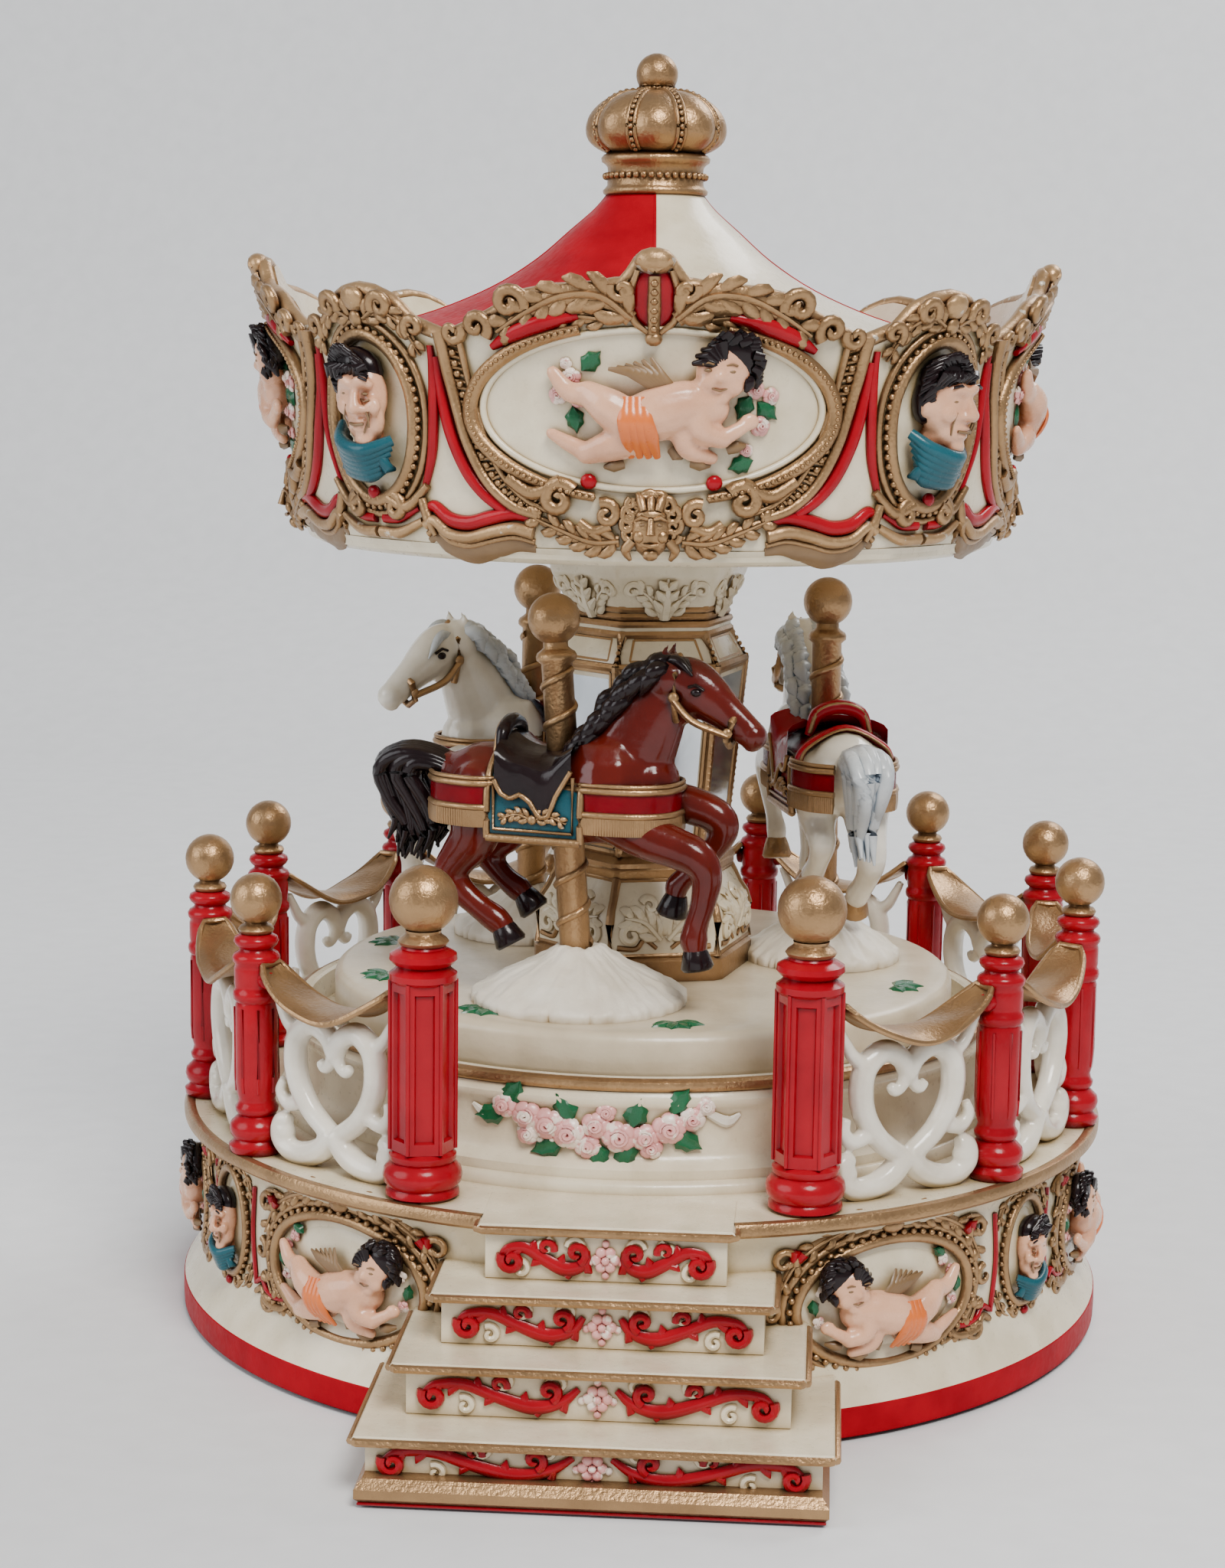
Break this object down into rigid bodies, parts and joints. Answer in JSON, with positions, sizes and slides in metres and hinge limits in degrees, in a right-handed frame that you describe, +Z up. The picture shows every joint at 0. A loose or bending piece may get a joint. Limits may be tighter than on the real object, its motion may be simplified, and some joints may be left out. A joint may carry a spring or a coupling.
{
  "type": "carousel music box",
  "caption": "Resin carousel music box: key-wound turntable with horses, mirrored column and canopy turning inside a fenced round base with steps.",
  "frame": {"origin": "centre of the drum's underside, on the table", "axes": "+Z up along the turntable's axis; the stairs face -Y"},
  "size_m": [0.15, 0.173, 0.2],
  "materials": {
    "resin_cream": "satin",
    "resin_disc": "satin",
    "paint_red": "gloss",
    "resin_white": "gloss",
    "paint_gold": "satin",
    "brown_glaze": "gloss",
    "mirror": "polished",
    "steel": "brushed",
    "brass": "polished",
    "zinc": "matte",
    "board": "matte"
  },
  "bodies": {
    "base": {"base_shell": "resin_cream", "stair_block": "resin_cream", "bottom_plate": "board", "bottom_plate_screws": "steel", "entrance_post_right": "paint_red", "entrance_post_left": "paint_red", "turntable_bush": "brass", "movement_frame": "zinc", "movement_screws": "steel", "comb": "steel", "comb_screws": "steel", "fence_post_1": "paint_red", "fence_post_2": "paint_red", "fence_post_3": "paint_red", "fence_post_4": "paint_red", "fence_post_5": "paint_red", "fence_post_6": "paint_red", "fence_post_7": "paint_red", "fence_post_8": "paint_red", "fence_post_9": "paint_red", "fence_post_10": "paint_red", "fence_panel_1": "resin_white", "fence_panel_2": "resin_white", "fence_panel_3": "resin_white", "fence_panel_4": "resin_white", "fence_panel_5": "resin_white", "fence_panel_6": "resin_white", "fence_panel_7": "resin_white", "fence_panel_8": "resin_white", "fence_panel_9": "resin_white", "fence_panel_10": "resin_white", "fence_panel_11": "resin_white"},
    "turntable": {"spring_barrel": "zinc", "crown_gear": "brass", "mainspring": "steel", "drive_hub": "steel", "hub_screws": "steel", "turntable_disc": "resin_disc", "column": "resin_cream", "mirror_panels": "mirror", "canopy_fascia": "resin_cream", "canopy_roof": "resin_cream", "crown_finial": "paint_gold", "pole_front": "paint_gold", "mound_front": "resin_cream", "horse_front": "brown_glaze", "pole_right": "paint_gold", "mound_right": "resin_cream", "horse_right": "resin_white", "pole_back": "paint_gold", "mound_back": "resin_cream", "horse_back": "resin_white"},
    "key": {"winding_arbor": "brass", "winding_key": "steel"},
    "cylinder": {"music_cylinder": "brass"},
    "idler": {"idler_arbor": "steel"},
    "governor": {"governor_fan": "steel"}
  },
  "joints": [
    {"name": "turntable_spin", "type": "hinge", "parent": "base", "child": "turntable", "pos_m": [0, 0, 0.0548], "axis": [0, 0, 1], "continuous": true},
    {"name": "key_wind", "type": "hinge", "parent": "base", "child": "key", "pos_m": [0, 0, 0.01], "axis": [0, 0, 1], "continuous": true},
    {"name": "cylinder_spin", "type": "hinge", "parent": "base", "child": "cylinder", "pos_m": [0.025, 0, 0.035], "axis": [1, 0, 0], "continuous": true},
    {"name": "idler_spin", "type": "hinge", "parent": "base", "child": "idler", "pos_m": [0.037, 0.008, 0.0305], "axis": [1, 0, 0], "continuous": true},
    {"name": "governor_spin", "type": "hinge", "parent": "base", "child": "governor", "pos_m": [0.041, 0.01365, 0.03], "axis": [0, 0, 1], "continuous": true}
  ],
  "couplings": [
    {"joint": "cylinder_spin", "follows": "turntable_spin", "ratio": 4},
    {"joint": "idler_spin", "follows": "turntable_spin", "ratio": -16},
    {"joint": "governor_spin", "follows": "turntable_spin", "ratio": 320}
  ]
}
